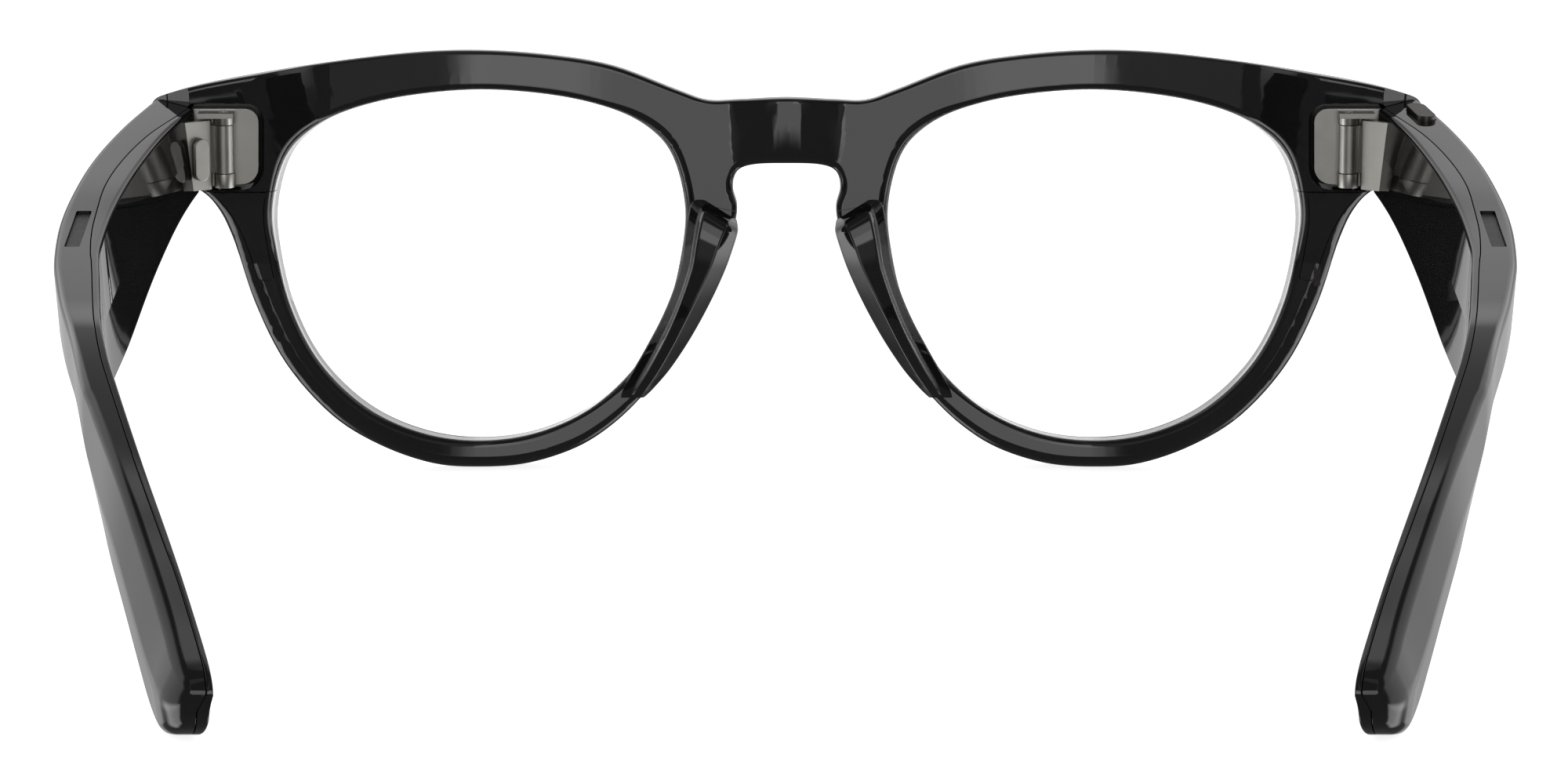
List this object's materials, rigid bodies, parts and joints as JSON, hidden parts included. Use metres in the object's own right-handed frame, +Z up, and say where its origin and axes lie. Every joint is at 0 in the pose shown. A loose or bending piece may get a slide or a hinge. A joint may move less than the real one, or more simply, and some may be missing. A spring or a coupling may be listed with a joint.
{
  "type": "smart glasses",
  "caption": "Full-rim black smart glasses with hinged electronics temples, a round camera window, a press button and clear lenses.",
  "frame": {"origin": "centre of the footprint on the surface that both rims and both temple tips stand on", "axes": "+X to the wearer's right, +Y forwards out through the lenses, +Z up; arms open"},
  "size_m": [0.1604, 0.1554, 0.0503],
  "materials": {
    "gloss_black": "polished",
    "clear_lens": "clear, coated",
    "satin_metal": "satin, warm grey",
    "dark_satin_metal": "satin, dark warm grey",
    "screw_steel": "machined",
    "camera_glass": "tinted window",
    "module_black": "matt",
    "diffuser": "milky",
    "circuit_board": "solder mask",
    "sensor_window": "infrared window",
    "contact_gold": "plated",
    "flex_amber": "film",
    "grille_black": "fine mesh",
    "cell_foil": "foil pouch"
  },
  "bodies": {
    "front": {"front_frame": "gloss_black", "rear_cover": "gloss_black", "side_cover_left": "gloss_black", "side_cover_right": "gloss_black", "lens_left": "clear_lens", "lens_right": "clear_lens", "nose_pad_left": "gloss_black", "nose_pad_right": "gloss_black", "hinge_plate_left": "satin_metal", "hinge_plate_right": "satin_metal", "hinge_pin_left": "screw_steel", "hinge_pin_right": "screw_steel", "hinge_screws_left": "screw_steel", "hinge_screws_right": "screw_steel", "camera_window": "camera_glass", "camera_module": "module_black", "led_window": "diffuser", "led_board": "circuit_board", "wear_sensor": "sensor_window", "charge_contacts": "contact_gold", "front_flex": "flex_amber"},
    "left_temple": {"temple_shell_left": "gloss_black", "temple_cover_left": "gloss_black", "hinge_leaf_left": "satin_metal", "leaf_screws_left": "screw_steel", "board_left": "circuit_board", "speaker_left": "module_black", "speaker_grille_left": "grille_black", "battery_left": "cell_foil"},
    "right_temple": {"temple_shell_right": "gloss_black", "temple_cover_right": "gloss_black", "hinge_leaf_right": "satin_metal", "leaf_screws_right": "screw_steel", "main_board_right": "circuit_board", "speaker_right": "module_black", "speaker_grille_right": "grille_black", "battery_right": "cell_foil", "touch_sensor_right": "flex_amber", "button_switch_right": "screw_steel"},
    "power_slider": {"power_switch": "satin_metal"},
    "button": {"capture_button": "dark_satin_metal"}
  },
  "joints": [
    {"name": "left_temple_fold", "type": "hinge", "parent": "front", "child": "left_temple", "pos_m": [-0.06625, 0.06078, 0.03974], "axis": [0, -0.0218, 0.9998], "range_deg": [0, 84]},
    {"name": "right_temple_fold", "type": "hinge", "parent": "front", "child": "right_temple", "pos_m": [0.06625, 0.06078, 0.03974], "axis": [0, 0.0218, -0.9998], "range_deg": [0, 68]},
    {"name": "power_slide", "type": "slide", "parent": "left_temple", "child": "power_slider", "axis": [0, -0.0218, 0.9998], "range_m": [0, 0.0012]},
    {"name": "button_press", "type": "slide", "parent": "right_temple", "child": "button", "axis": [-0.0216, 0.1381, -0.9902], "range_m": [0, 0.00035], "stiffness_N_per_m": 600}
  ]
}
